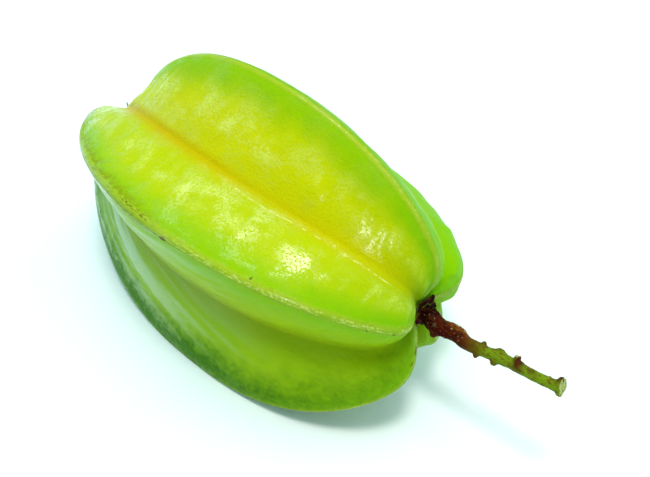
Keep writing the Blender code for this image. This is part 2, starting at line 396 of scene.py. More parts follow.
@labelled
class SkinSettings(PropertyGroup):
    """Colours of the skin, from crest to valley, where it is green and where it is ripe."""

    green_seam: colour("Seam on a green crest", (0.20, 0.36, 0.012))
    green_crest: colour("Green skin along a crest", (0.12, 0.38, 0.002))
    green_flank: colour("Green skin on a flank", (0.145, 0.365, 0.001))
    shaded_flank: colour("Skin of the flanks under the ribs", (0.34, 0.58, 0.003))
    fresh_flank: colour("The brightest green skin", (0.21, 0.56, 0.0005))
    green_valley: colour("Green skin in a valley", (0.19, 0.35, 0.002))
    ripe_seam: colour("Seam on a ripening crest", (0.36, 0.48, 0.02))
    ripe_crest: colour("Ripening skin along a crest", (0.28, 0.50, 0.001))
    ripe_flank: colour("Ripe skin on a flank", (0.45, 0.545, 0.001))
    ripe_valley: colour("Ripe skin in a valley", (0.52, 0.50, 0.001))
    deep_green: colour("The darkest crests", (0.058, 0.185, 0.001))
    # Pale lines along the ripples and a paler tip at the blossom end: partly paler skin, partly
    # painted sheen.
    pale: colour("Milky ripples near the blossom end", (0.60, 0.72, 0.34))
    pit: colour("Skin round the foot of the stalk", (0.16, 0.10, 0.003))
    sunny: colour("The yellowest skin", (0.62, 0.60, 0.001))
    # Painted sheen: whitish streaks on the flanks under the ribs that stand in for the reflection
    # of the bright floor.
    milky: colour("Milky streaks on the shaded flanks", (0.56, 0.72, 0.50))
    # Partly the skin's own pale grains, partly painted highlight in granular patches.
    speckle: colour("Pale grains in the ripe skin", (0.72, 0.80, 0.17))
    # Painted shade in the bottoms of the valleys under the ribs.
    valley_shade: colour("Bottom of the valleys under the ribs", (0.10, 0.16, 0.001))
    scar: colour("Brown specks and scratches along the crests", (0.10, 0.045, 0.004))
    olive_crest: colour("Browned skin along the front crest", (0.23, 0.20, 0.002))
    # Painted highlight: thin pale lines along the crests' seams and beside the ripest valley, in
    # place of glints.
    painted_glint_line: colour("Thin worn lines by the crests and valleys", (0.75, 0.80, 0.22))
    amber: colour("Line along the ripest valleys", (0.58, 0.38, 0.0))


@labelled
class BarkSettings(PropertyGroup):
    """Colours of the stalk, the style and the calyx, and the size of the sepals."""

    foot: colour("Bark in the pit", (0.008, 0.0005, 0.001))
    maroon: colour("Bark just outside the pit", (0.055, 0.0015, 0.001))
    brown: colour("Bark where the maroon ends", (0.10, 0.016, 0.003))
    olive: colour("Bark where the green begins", (0.12, 0.10, 0.003))
    green: colour("Bark of the outer stalk", (0.17, 0.265, 0.006))
    # Orange on the stalk's upper side: partly the bark's own colour, partly a painted highlight
    # where light falls.
    orange: colour("Upper side, where the light has dried it", (0.34, 0.11, 0.006))
    fleck: colour("Flecks on the bark", (0.13, 0.05, 0.006))
    rust: colour("Bark round the nubs", (0.07, 0.015, 0.003))
    scar: colour("Cut and broken places", (0.55, 0.50, 0.24))
    cut: colour("Face of the stalk's cut end", (0.42, 0.45, 0.15))
    style_dark: colour("Grain of the style", (0.10, 0.13, 0.05))
    style_pale: colour("The style between its grain", (0.30, 0.36, 0.18))
    sepal_dark: colour("Dark parts of the sepals", (0.012, 0.002, 0.002))
    sepal: colour("The sepals", (0.045, 0.005, 0.003))
    sepal_pale: colour("Pale, dry edges of the sepals", (0.17, 0.05, 0.015))
    sepal_length: length("From foot to tip", 2.1)
    sepal_width: length("At the widest place", 3.6)
    sepal_thickness: length("Of the dry paper", 0.18)


@labelled
class StageSettings(PropertyGroup):
    """Camera, light and floor."""

    camera_azimuth: angle("From -Y towards +X", 46.4)
    camera_elevation: angle("Above the horizon", 43.31)
    camera_distance: length("From the middle of the fruit's axis", 300)
    aim_right: length("Where the camera looks, right of the axis' middle", 11.09)
    aim_down: length("Where the camera looks, below the axis' middle", 6.81)
    lens: number("Focal length on a 36 mm wide sensor, in millimetres", 74.6)
    wall_from: direction("Middle of the bright studio wall", (-0.92, -0.1, 0.1))
    wall: colour("Studio wall on the bright side", (0.60, 0.95, 1.0))
    ceiling: colour("Studio ceiling and far wall", (0.05, 0.10, 0.14))
    floor: colour("The pale floor", (0.91, 0.96, 0.98))


# ---- Fruit and its skin ----


def fruit_inputs():
    """Every input of the fruit's tree, with the setting that it comes from, and its rib."""
    inputs = {}
    for name, setting in FruitSettings.__annotations__.items():
        label = name.replace("_", " ")
        if "size" in setting.keywords:
            inputs.update({f"{label} {rib + 1}": (name, rib) for rib in range(RIBS)})
        else:
            inputs[label] = (name, None)
    return inputs


def hypotenuse(first, second):
    return (first * first + second * second).root()


def rounded_share(share, crest, valley):
    """Turn a share of the way from crest (0) to valley (1) into one that is level at both."""
    def raw(x):
        near_crest = hypotenuse(crest, 1) * hypotenuse(crest, x)
        near_valley = hypotenuse(valley, 1) * hypotenuse(valley, 1 - x)
        return near_crest - near_valley - x
    return ((raw(share) - raw(0)) / (raw(1) - raw(0))).at_least(0)


class FruitMaker(GeometryMaker):
    """Geometry Nodes that move every point of a sphere to the ribbed skin.

    The sphere's poles lie on the fruit's axis. axial is a point's place on that axis, girth its
    distance from it, and u its share of the turn from a crest (0) to a valley (1).
    """

    def __init__(self):
        super().__init__("Ribbed fruit", list(fruit_inputs()))
        across, up, self.axial = self.split(self.add("GeometryNodeInputPosition"))
        turn = self.math("ARCTAN2", up, across) / math.tau * RIBS
        nearest = turn.rounded()
        before = turn < nearest
        self.rib = nearest.wrapped(RIBS, 0)
        self.neighbour = (nearest + 1 - before * 2).wrapped(RIBS, 0)
        self.valley = (nearest - before).wrapped(RIBS, 0)
        u = abs(turn - nearest) * 2
        self.u = u - self.given["column spread"] * (u * math.tau).sine() / math.tau
        self.stalkward = self.axial > 0
        self.girth = (1 - self.axial * self.axial).at_least(0).root()

    def of_rib(self, name, number):
        """A setting's value at the rib, or the valley after it, that has this number."""
        choices = {rib + 1: self.given[f"{name} {rib + 1}"] for rib in range(RIBS)}
        return self.add("GeometryNodeIndexSwitch", {"data_type": "FLOAT", "choices": RIBS},
                        {"Index": self.whole(number), **choices})

    def rib_by_end(self, name):
        """A setting of this rib that differs between its two ends."""
        return self.of_rib(f"blossom {name}", self.rib).toward(
            self.of_rib(f"stalk {name}", self.rib), self.stalkward)

    def by_end(self, at_blossom, at_stalk):
        return self.given[at_blossom].toward(self.given[at_stalk], self.stalkward)

    def cross_section(self):
        """The rounded share of the way from crest to valley, and the distance from the axis."""
        given = self.given
        crest = self.of_rib("radius", self.rib) * self.girth ** given["rib taper"]
        valley = self.of_rib("valley radius", self.valley) * self.girth ** given["valley taper"]
        share = rounded_share(self.u, *(
            (width / HALF_RIB / radius.at_least(LEAST_RADIUS)).at_most(MOST_ROUNDING)
            for width, radius in ((given["crest width"], crest), (given["valley width"], valley))))
        chord = crest * (share * HALF_RIB).sine() + valley * ((1 - share) * HALF_RIB).sine()
        radius = crest * valley * math.sin(HALF_RIB) / chord.at_least(LEAST_CHORD)
        bulge = given["flank bulge"] + given["end bulge"] * self.axial ** 4
        radius += bulge * (self.girth * BULGE_RISE).at_most(1) * share * (1 - share) * 4
        return share, radius

    def along_axis(self, share, radius):
        """How far the skin lies along the axis, with a pit at each end."""
        crest_reach = self.rib_by_end("reach")
        valley_reach = self.by_end("valley blossom", "valley stalk")
        valley_fullness = self.by_end("valley blossom fullness", "valley stalk fullness")
        blend = share ** self.given["bluntness"]
        crest_along = crest_reach * abs(self.axial) ** (2 / self.rib_by_end("fullness"))
        valley_along = valley_reach * abs(self.axial) ** (2 / valley_fullness)
        floor = self.by_end("blossom floor", "stalk floor")
        pit_depth = crest_reach.toward(valley_reach, blend) - floor
        in_pit = radius.bell(self.by_end("blossom pit", "stalk pit"))
        along = crest_along.toward(valley_along, blend)
        along -= abs(self.axial).step(0, PIT_REACH) * pit_depth * in_pit
        return along * self.axial.sign()

    def azimuths(self, along):
        """The azimuth of the crest, and how much further round its valley is."""
        part = along / self.given["half length"]
        middle = 1 - part * part

        def of_crest(number):
            return self.of_rib("azimuth", number) - self.of_rib("twist", number) * part \
                + self.of_rib("bow", number) * middle

        crest = of_crest(self.rib)
        gap = (of_crest(self.neighbour) - crest).wrapped(math.pi, -math.pi)
        bow = self.of_rib("valley bow", self.valley) * middle
        return crest, gap / 2 + self.of_rib("valley offset", self.valley) + bow

    def skin(self):
        """The skin without its relief, which carries what the relief and the material read."""
        share, radius = self.cross_section()
        along = self.along_axis(share, radius)
        crest_azimuth, to_valley = self.azimuths(along)
        azimuth = crest_azimuth + self.u * to_valley
        place = self.vector(along, radius * azimuth.cosine(), radius * azimuth.sine())
        mesh = self.add("GeometryNodeMeshUVSphere", None, {
            "Segments": self.whole(self.given["columns"]),
            "Rings": self.whole(self.given["rings"]), "Radius": 1.0}, "Mesh")
        for name, field in (
                ("valley_share", share),
                ("crest_distance", radius * self.u * abs(to_valley)),
                ("valley_distance", radius * (1 - self.u) * abs(to_valley)),
                ("end_to_end", self.math("ARCSINE", self.axial) / (math.pi / 2)),
                ("ripeness", self.of_rib("ripeness", self.valley)),
                ("fold_lean", self.of_rib("fold lean", self.valley)),
                ("crest_green", self.of_rib("crest green", self.rib)),
                ("sunned", self.of_rib("sunned", self.rib)),
                ("rib", self.rib)):
            mesh = self.store(mesh, name, field)
        return self.add("GeometryNodeSetPosition", None, {"Geometry": mesh, "Position": place})

    def relief(self, mesh):
        """Add waves, folds, lumps, the seams of the crests and the creases of the valleys."""
        given = self.given
        share, crest, fold, ring, rib, lean = (self.stored(name) for name in (
            "valley_share", "crest_distance", "valley_distance", "end_to_end", "rib", "fold_lean"))
        x, y, z = self.split(self.add("GeometryNodeInputPosition"))
        arc = ring * given["half length"] * (math.pi / 2)
        down = fold / given["fold length"]
        broad = self.noise(self.vector(
            arc / given["wave length"], rib * WAVE_SHIFT, share * 1.2), 1.0, 1.0)
        across_fold = self.noise(self.vector(
            arc / given["fold width"] - down, rib * FOLD_SHIFT, down * 1.2), 1.0, 1.5)
        along_fold = self.noise(self.vector(
            x / given["fold length"] / 2.5, rib * FOLD_SHIFT,
            (fold - x * 0.3) / given["fold width"] * 1.6), 1.0, 1.5)
        lumps = self.noise(self.vector(arc, fold, rib * LUMP_SHIFT), 1 / given["lump length"], 1.5)
        mesh = self.store(mesh, "streak", along_fold)
        mesh = self.store(mesh, "ripple", across_fold)

        on_flank = share * (1 - share) * 4
        height = (broad - 0.5) * given["wave height"] * on_flank
        height += (across_fold.toward(along_fold, lean) - 0.5) * given["fold height"] * on_flank
        height += (lumps - 0.5) * given["lump height"] * on_flank.at_least(LEAST_LUMPS)
        ends = 1 - abs(ring).step(0.8, 0.97)
        seam = 1 - (crest / given["seam width"]).step(0.7, 1.5)
        height += seam * given["seam height"] * ends
        height -= fold.bell(given["crease width"]) * given["crease depth"] * ends
        outward = self.scale(self.add("GeometryNodeInputNormal"), height)
        mesh = self.add("GeometryNodeSetPosition", None, {"Geometry": mesh, "Offset": outward})

        settled = self.vector(x, y, z.at_least(given["rest depth"] * -1.0))
        settled = self.vectors("ADD", settled, tuple(MIDDLE))
        return self.add("GeometryNodeSetPosition", None, {"Geometry": mesh, "Position": settled})


# How often each pattern in the skin repeats in a metre, from broad clouds to fine scratches.
CLOUDS, PATCHES, MOTTLES, SPOTS, GRIT, PORES, SCRATCHES = 60, 160, 260, 330, 900, 1900, 2600


class Skin(Finish):
    """Waxy skin: green crests, yellow flanks and an amber line along each valley.

    Each layer paints over the colour that it is given. Distances to crest and fold, the bottom
    of the valley, are in millimetres, and ring goes from -1 at the blossom end to 1 at the
    stalk. lean is 1 on the flanks under the ribs, which carry a painted sheen, and upper is the
    rest.
    """

    def __init__(self, look):
        super().__init__("waxy_skin_ripening", {
            "Subsurface Weight": 0.1,
            "Subsurface Radius": (1.0, 0.9, 0.1),
            "Subsurface Scale": 0.002,
            "IOR": 1.25,
            "Specular IOR Level": 0.1,
            "Specular Tint": (1.0, 1.0, 0.2, 1.0),
            "Coat Roughness": 0.17,
            "Coat IOR": 1.5,
        })
        self.look = look
        self.share = self.attribute("valley_share")
        self.crest = self.attribute("crest_distance") / MM
        self.fold = self.attribute("valley_distance") / MM
        self.ring = self.attribute("end_to_end")
        self.ripple = self.attribute("ripple")
        self.ripeness = self.attribute("ripeness")
        self.sunned = self.attribute("sunned")
        self.lean = self.attribute("fold_lean")
        self.upper = 1 - self.lean
        self.where = self.place()
        self.cloud = self.noise(CLOUDS, 3)
        self.mottle = self.noise(MOTTLES, 3)
        self.grit = self.noise(GRIT, 2)
        self.pores = self.noise(PORES, 1)
        self.patches = self.noise(PATCHES, 3).step(0.42, 0.60)
        self.grains = (self.pores + (self.patches - 0.5) * 0.15).step(0.45, 0.60)
        self.streak = self.attribute("streak").step(0.42, 0.60)
        ripe = self.ripeness * (1 - self.ring.step(0.25, 0.85) * 0.75)
        self.ripe = (ripe + (self.cloud - 0.5) * 0.5).at_least(0)
        self.tip = 1 - (self.ring + (self.cloud - 0.5) * 0.4).step(-0.8, -0.35)
        self.blossomward = 1 - self.ring.step(-0.6, 0.3)
        self.deep = self.deep_crests()

    def noise(self, scale, detail):
        return self.maker.noise(self.where, scale, detail)

    def paint(self, skin, colour, share):
        """Paint a share of one of the look's colours over the skin."""
        return self.maker.mix(share, skin, getattr(self.look, colour)[:])

    def deep_crests(self):
        """Where crests are of the darkest green, with a ragged edge and least at the ends."""
        deep = 1 - (self.crest + (self.mottle - 0.5) * 7 + (self.cloud - 0.5) * 6).step(2, 11)
        deep *= (0.65 + self.crest.step(0.5, 4.0) * 0.35) * (1 - self.ring.step(-0.2, 0.8) * 0.55)
        deep *= self.attribute("crest_green") * (1.15 + (self.grit - 0.5) * 1.4)
        deep *= 0.35 + self.ring.step(-0.85, -0.3) * 0.65
        return deep.at_most(1)

    def flanks(self):
        """Green or ripe skin from crest to valley, by how ripe each valley is."""
        look = self.look
        across = self.share + (self.cloud - 0.5) * 0.25 + (self.mottle - 0.5) * 0.15
        green = self.maker.ramp(across, (0.06, look.green_crest), (0.45, look.green_flank),
                                (0.95, look.green_valley))
        ripe = self.maker.ramp(across, (0.06, look.ripe_crest), (0.32, look.ripe_flank),
                               (0.80, look.ripe_flank), (1.0, look.ripe_valley))
        skin = self.maker.mix(self.ripe, green, ripe)
        skin = self.paint(skin, "shaded_flank", self.lean * 0.4)
        skin = self.paint(skin, "fresh_flank", self.upper * (1 - self.ripeness) * 0.85)
        return self.paint(skin, "deep_green", self.deep)

    def valleys(self, skin):
        """A sunny rib, an amber line in ripe valleys, and painted shade in the bottoms of the
        valleys under the ribs.
        """
        sunny = self.sunned * (self.share + (self.cloud - 0.5) * 0.6).step(0.1, 0.7)
        skin = self.paint(skin, "sunny", sunny * (1 - self.ring.step(-0.1, 0.9)) * 0.85)
        amber = 1 - (self.fold + (self.mottle - 0.5) * 1.2).step(0.1, 2.3)
        amber *= (self.ripe - 0.7).at_least(0) * (0.45 - self.ring).at_least(0) * 2.8
        skin = self.paint(skin, "amber", amber)
        # Painted shade: the valley bottoms under the ribs are darkened.
        return self.paint(skin, "valley_shade", self.fold.bell(5) * self.lean * 0.4)

    def blossom_end(self, skin):
        """Pale ripples at the blossom end, partly painted sheen, and streaks of painted sheen that
        fade from it.
        """
        # Pale lines along the ripples and a paler tip: partly paler skin, partly painted sheen.
        thin = 1 - abs(self.ripple - 0.5).step(0.005, 0.06)
        pale = (thin * 0.75 + 0.15) * self.tip * self.share.step(0.1, 0.4)
        skin = self.paint(skin, "pale", pale * self.upper)
        # Painted sheen: whitish streaks on the flanks under the ribs, strongest at the blossom end,
        # in place of the floor's reflection.
        milky = 0.12 + self.streak * (0.8 - self.share.step(0.6, 1.0) * 0.5)
        milky += self.tip * (1 - self.share.step(0.6, 0.9)) * 0.4
        milky *= self.lean * self.blossomward * (1 - self.deep * 0.9)
        return self.paint(skin, "milky", milky)

    def speckles(self, skin):
        """Pale grains in ripe skin, in bands across the flanks and in loose patches: partly the
        skin's own grain and mottling, partly painted highlight.
        """
        bands = self.ripple.step(0.4, 0.62) * self.share.step(0.15, 0.5)
        bands *= self.mottle.step(0.4, 0.6) * self.upper * self.ripe.at_most(1)
        bands *= 1 - self.share.step(0.58, 0.85)
        # Bands of pale grain: partly the skin's mottling, partly painted highlight.
        skin = self.paint(skin, "speckle", bands * (0.15 + self.grains * 0.35))
        # Loose frosty patches of grain: partly the skin's own grain, partly painted highlight.
        frost_and_glint = self.grains * self.patches * self.upper * (self.ripe - 0.3).clamped()
        frost_and_glint *= self.share.step(0.15, 0.45) * (1 - self.share.step(0.65, 0.95))
        return self.paint(skin, "speckle", frost_and_glint * 0.25)

    def seams(self, skin):
        """The front crest's browned edge, the seam of each crest, and the pit at the stalk."""
        rib = self.attribute("rib")
        olive = 1 - (self.crest + (self.mottle - 0.5) * 2.5).step(0.8, 3.0)
        olive *= 0.35 + self.grit.step(0.42, 0.58) * 0.65
        olive *= self.ring.step(-0.95, -0.75) * (1 - self.ring.step(-0.15, 0.1))
        olive *= (rib > FRONT_RIB - 0.5) * (rib < FRONT_RIB + 0.5)
        skin = self.paint(skin, "olive_crest", olive * 0.6)
        seam = 1 - (self.crest + (self.grit - 0.5) * 0.8).step(0.7, 1.3)
        seam_skin = self.maker.mix(self.ripe, self.look.green_seam[:], self.look.ripe_seam[:])
        skin = self.maker.mix(seam * 0.85, skin, seam_skin)
        in_pit = (self.ring + (self.mottle - 0.5) * 0.05).step(0.90, 0.97)
        return self.paint(skin, "pit", in_pit * 0.8)

    def wear(self, skin):
        """Brown scratches and spots on the crests, and thin pale lines of painted highlight along
        the crests and the ripest valley.
        """
        scratch = self.maker.noise(self.maker.stretch(self.where, (0.3, 1.0, 1.0)),
                                   SCRATCHES, 3.0, 0.7)
        spared = self.sunned > 0.5
        scar = 1 - abs(self.crest - 0.7 + (self.mottle - 0.5) * 1.5).step(0.1, 0.8)
        scar *= scratch.step(0.48, 0.60) * (self.cloud + self.mottle).step(0.85, 1.1)
        scar *= (1 - spared * 0.9) * (1 - self.ring.step(-0.1, 0.2) * 0.7)
        spots = (1 - self.crest.step(0.8, 2.0)) * self.noise(SPOTS, 1).step(0.72, 0.75)
        skin = self.paint(skin, "scar", scar * 0.7 + spots * 0.85)
        # Painted highlight: a thin, broken pale line beside the bottom of the ripest valley.
        valley_glint = 1 - abs(self.fold - 1.8 + (self.cloud - 0.5) * 3).step(0.08, 0.25)
        valley_glint *= (self.ripeness > 0.9) * (1 - spared) * (1 - self.ring.step(0.5, 0.65))
        # Painted highlight: a thin pale glint line along each crest's seam.
        glint = 1 - abs(self.crest - 0.3 + (self.mottle - 0.5) * 1.2).step(0.1, 0.35)
        glint *= 0.8 - spared * 0.5
        dashed = scratch.step(0.44, 0.56) * self.mottle.step(0.40, 0.52)
        dashed *= self.ring.step(-0.05, 0.1)
        return self.paint(skin, "painted_glint_line", (valley_glint + glint).at_most(1) * dashed * 0.6)

    def wax(self):
        """How thick the wax is: grainy on ripe skin, streaked on the flanks under the ribs that
        carry the painted sheen.
        """
        oily = self.grains * (0.25 + self.patches * 0.75)
        oily *= (self.ripe - 0.35).at_least(0).at_most(0.6) * 1.4
        bloom = self.blossomward * self.lean + self.tip * self.upper * 0.5
        wax = oily * self.upper + bloom * (0.15 + self.streak * 0.85) + 0.05
        return (wax * (1 - self.deep) * self.fold.step(0.3, 2.5)).clamped()


def skin_material(look):
    skin = Skin(look)
    colour = skin.flanks()
    for layer in (skin.valleys, skin.blossom_end, skin.speckles, skin.seams, skin.wear):
        colour = layer(colour)
    skin.link("Base Color", colour)
    skin.link("Roughness", 0.5 - skin.patches * 0.1)
    skin.link("Coat Weight", skin.wax())
    skin.bump(skin.pores + skin.mottle * 0.8, 0.6, 0.25 * MM)
    return skin.material


class STARFRUIT_OT_fruit(Operator):
    """Make the ribbed fruit from its rule"""

    bl_idname = "starfruit.fruit"
    bl_label = "Make Fruit"

    def execute(self, context):
        settings = context.scene.star_fruit
        maker = FruitMaker()
        maker.finish(maker.relief(maker.skin()), skin_material(context.scene.star_fruit_skin))
        values = {}
        for label, (name, rib) in fruit_inputs().items():
            value = getattr(settings, name)
            values[label] = value if rib is None else value[rib]
        fruit = run_tree(maker, "ripening_fruit", values, context.scene.collection)
        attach(fruit, "root")
        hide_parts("fruit")
        return {"FINISHED"}


# ---- Stalk, style and calyx ----

# Points along the stalk's middle, in millimetres from the middle of the fruit's axis, each with
# the stalk's radius there.
STALK_ROUTE = (
    (44.0, 0.0, 0.0, 1.6),
    (45.5, -0.25, -0.2, 1.75),
    (47.2, -0.85, -0.7, 1.8),
    (49.6, -0.8, -0.6, 1.75),
    (52.6, -0.4, -0.3, 1.65),
    (55.6, -0.6, -0.6, 1.45),
    (59.2, -0.3, -0.1, 1.25),
    (62.6, 0.0, 0.4, 1.2),
    (66.2, 0.2, 1.0, 1.2),
    (71.0, 0.3, 1.5, 1.12),
    (75.0, 0.5, 2.1, 1.1),
    (76.8, 0.6, 2.5, 1.2),
    (77.9, 0.7, 2.9, 1.3),
)
STYLE_ROUTE = (
    (-48.1, 0.1, 0.2, 0.5),
    (-49.0, 0.35, 0.4, 0.42),
    (-49.8, 0.65, 0.8, 0.3),
    (-50.6, 0.9, 1.1, 0.22),
    (-51.3, 1.2, 1.5, 0.12),
)
# What stands out on the stalk: how far along it is, the azimuth that it faces, its height, half
# its length and half its width, all in millimetres and degrees. level flattens its top, scar is
# how pale a cut it is, and rust is how brown the bark is round it.
Nub = namedtuple("Nub", "along azimuth height length width level scar rust")
NUBS = (
    Nub(46.9, 40, 0.30, 1.3, 1.2, 0, 0, 0),
    Nub(48.3, 222, 0.95, 0.60, 0.60, 0, 0, 1),
    Nub(52.0, 45, 0.25, 1.6, 1.2, 0, 0, 1),
    Nub(52.5, 72, 0.30, 0.40, 0.25, 1, 0.8, 0),
    Nub(53.9, 60, 0.35, 0.38, 0.22, 1, 0.8, 0),
    Nub(52.0, 112, 0.22, 0.22, 0.22, 1, 0.5, 0),
    Nub(50.9, 196, 0.25, 0.28, 0.24, 1, 0.7, 0),
    Nub(48.4, 135, 0.25, 0.50, 0.45, 0, 0.1, 0),
    Nub(55.8, 150, 0.25, 0.70, 0.60, 0, 0, 1),
    Nub(58.5, 216, 0.80, 0.50, 0.55, 0, 0, 1),
    Nub(59.2, 40, 0.65, 0.45, 0.50, 0, 0, 1),
    Nub(62.7, 214, 0.85, 0.70, 0.60, 0, 0, 0.8),
    Nub(63.1, 38, 0.70, 1.00, 0.65, 0, 0, 0.6),
    Nub(67.0, 52, 0.85, 0.50, 0.60, 1, 1, 0.2),
    Nub(68.0, 80, 0.18, 0.80, 1.60, 0, 0, 1.2),
    Nub(74.8, 40, 0.16, 0.25, 0.25, 0, 0, 0.5),
    Nub(71.3, 95, 0.10, 0.60, 0.50, 0, 0, 0.8),
    Nub(77.5, 48, 0.75, 0.80, 0.75, 0, 0, 1.3),
    Nub(77.6, 225, 0.65, 0.60, 0.55, 0, 0, 0.2),
)
STALK_COLUMNS = 72
STALK_STEPS = 36
STYLE_COLUMNS = 20
STYLE_STEPS = 10
# Rings across an end, from its rim to its middle: the share of the radius, and how far each
# sinks below the end, in millimetres. Less than 0 stands out. A notch runs across them.
STALK_END = ((0.96, -0.22), (0.86, -0.30), (0.6, -0.26), (0.4, -0.22), (0.2, -0.2), (0.05, -0.2))
STYLE_END = ((0.5, 0.0),)
NOTCH_WIDTH = 0.4
NOTCH_DEPTH = 0.45
# A nub has no effect past this many times its own size.
NUB_REACH = 4
# How far from its foot the stalk is rougher, and changes colour, in millimetres.
FOOT_LENGTH = 12
BARK_LENGTH = 34


def smooth_route(route, steps):
    """Points and radii on a smooth line through a route."""
    stops = [route[0], *route, route[-1]]
    found = []
    for four in zip(stops, stops[1:], stops[2:], stops[3:]):
        for step in range(steps):
            t = step / steps
            found.append([
                (2 * b + (c - a) * t + (2 * a - 5 * b + 4 * c - d) * t * t
                 + (3 * b - a - 3 * c + d) * t ** 3) / 2 for a, b, c, d in zip(*four)])
    found.append(list(route[-1]))
    return found


def piece_of(bm, name, material, collection):
    """A new smooth object with this bmesh, which is then freed."""
    mesh = bpy.data.meshes.new(name)
    bm.to_mesh(mesh)
    bm.free()
    mesh.materials.append(material)
    mesh.shade_smooth()
    piece = bpy.data.objects.new(name, mesh)
    collection.objects.link(piece)
    return piece


def tube(name, route, steps, columns, detail, end_rings, material, collection):
    """A closed tube along a route. detail gives the added radius at a place, and its marks."""
    stations = smooth_route(route, steps)
    rings = [(station, 1.0, 0.0) for station in stations]
    rings += [(stations[-1], share, sink) for share, sink in end_rings]
    bm = bmesh.new()
    layers = {mark: bm.verts.layers.float.new(mark) for mark in ("scar", "rust", "cut")}
    rows = []
    for number, (station, share, sink) in enumerate(rings):
        here = min(number, len(stations) - 1)
        before, after = stations[max(here - 1, 0)], stations[min(here + 1, len(stations) - 1)]
        along = (Vector(after[:3]) - Vector(before[:3])).normalized()
        first = (Vector((0, 1, 0)) - along * along.y).normalized()
        second = along.cross(first)
        row = []
        for column in range(columns):
            azimuth = math.tau * column / columns
            outward = first * math.cos(azimuth) + second * math.sin(azimuth)
            middle = Vector(station[:3])
            added, marks = detail(middle, azimuth, station[3], outward)
            place = middle + outward * (station[3] + added) * share
            if share < 1:
                notch = math.exp(-(((place - middle).dot(first) / NOTCH_WIDTH) ** 2))
                place -= along * (sink + NOTCH_DEPTH * notch)
                marks["cut"] = 1.0
            vertex = bm.verts.new(place * MM + MIDDLE)
            for mark, layer in layers.items():
                vertex[layer] = marks.get(mark, 0.0)
            row.append(vertex)
        rows.append(row)
    for row, following in zip(rows, rows[1:]):
        for column in range(columns):
            beside = (column + 1) % columns
            bm.faces.new((row[column], row[beside], following[beside], following[column]))
    bm.faces.new(reversed(rows[0]))
    bm.faces.new(rows[-1])
    return piece_of(bm, name, material, collection)


def turned(first, second):
    """The angle between two azimuths, without its sign."""
    return abs((first - second + math.pi) % math.tau - math.pi)


def nub_top(near, level):
    """How high a nub is, from 0 to 1, by nearness to its middle. A level one has a flat top."""
    if level:
        top = min(near * 2.2, 1.0)
        return top * top * (3 - 2 * top)
    return near ** 1.3 * (2 - near ** 1.3)


def stalk_detail(middle, azimuth, radius, outward):
    """Nubs, scars and rough bark on the stalk."""
    added, scar, rust = 0.0, 0.0, 0.0
    for nub in NUBS:
        far = ((middle.x - nub.along) / nub.length) ** 2
        round_ = (turned(azimuth, math.radians(nub.azimuth)) * radius / nub.width) ** 2
        if far + round_ > NUB_REACH ** 2:
            continue
        near = math.exp(-far - round_)
        added += nub.height * nub_top(near, nub.level)
        scar = max(scar, nub.scar * (near > 0.45))
        rust = max(rust, nub.rust * math.exp(-(far + round_) / 3))
    place = middle + outward * radius
    coarse = noise.noise(Vector((place.x * 0.55, place.y * 0.8, place.z * 0.8)))
    fine = noise.noise(place * 1.9) + 0.5 * noise.noise(place * 4.3)
    foot = max(1 - (middle.x - STALK_ROUTE[0][0]) / FOOT_LENGTH, 0)
    added += (0.10 + 0.10 * foot) * coarse + (0.05 + 0.07 * foot) * fine
    return added, {"scar": scar, "rust": rust}


def style_detail(middle, azimuth, radius, outward):
    return 0.06 * noise.noise((middle + outward * radius) * 2.6), {}


def stalk_material(look):
    """Bark that goes from near-black maroon at its foot to green further out."""
    finish = Finish("knobbly_bark", {"IOR": 1.3, "Specular IOR Level": 0.1})
    maker = finish.maker
    place = finish.place()
    x, y, z = maker.split(place)
    cloud = maker.noise(place, 500.0, 3.0)
    grain = maker.noise(maker.stretch(place, (0.35, 1.0, 1.0)), 2200.0, 3.0)
    foot = STALK_ROUTE[0][0] * MM + MIDDLE.x
    far = (x - foot) / BARK_LENGTH / MM + (cloud - 0.5) * 0.10
    bark = maker.ramp(far, (0.05, look.foot), (0.14, look.maroon), (0.24, look.maroon),
                      (0.33, look.brown), (0.42, look.olive), (0.50, look.green))
    upper = (z - MIDDLE.z + (y - MIDDLE.y) * 0.8) / MM
    # The upper side is painted orange: partly the bark's own colour, partly a painted highlight.
    lit = (upper + (cloud - 0.5) * 2).step(0.3, 1.6)
    orange = lit * far.step(0.14, 0.2) * (1 - far.step(0.32, 0.4))
    bark = maker.mix(orange * 0.9, bark, look.orange[:])
    murk = (0.5 - maker.noise(place, 700.0, 2.0)).step(0.0, 0.12) * (1 - far.step(0.3, 0.45))
    bark = maker.mix(murk * 0.6, bark, look.foot[:])
    flecks = (grain - 0.5).step(0.0, 0.1) * (0.25 + 0.5 * far.step(0.3, 0.5))
    bark = maker.mix(flecks, bark, look.fleck[:])
    rust = finish.attribute("rust") + (cloud - 0.62).at_least(0) * 3
    bark = maker.mix((rust * 0.85).at_most(1), bark, look.rust[:])
    specks = maker.noise(place, 2300.0, 1.0).step(0.68, 0.76) * (1 - far.step(0.35, 0.5)) * 0.3
    scar = (finish.attribute("scar") * 0.8).at_least(specks)
    bark = maker.mix(scar, bark, look.scar[:])
    bark = maker.mix(finish.attribute("cut") * grain.step(0.35, 0.55), bark, look.cut[:])
    finish.link("Base Color", bark)
    finish.link("Roughness", 0.38 + grain * 0.3)
    finish.bump(grain + cloud * 0.6, 0.6, 0.12 * MM)
    return finish.material


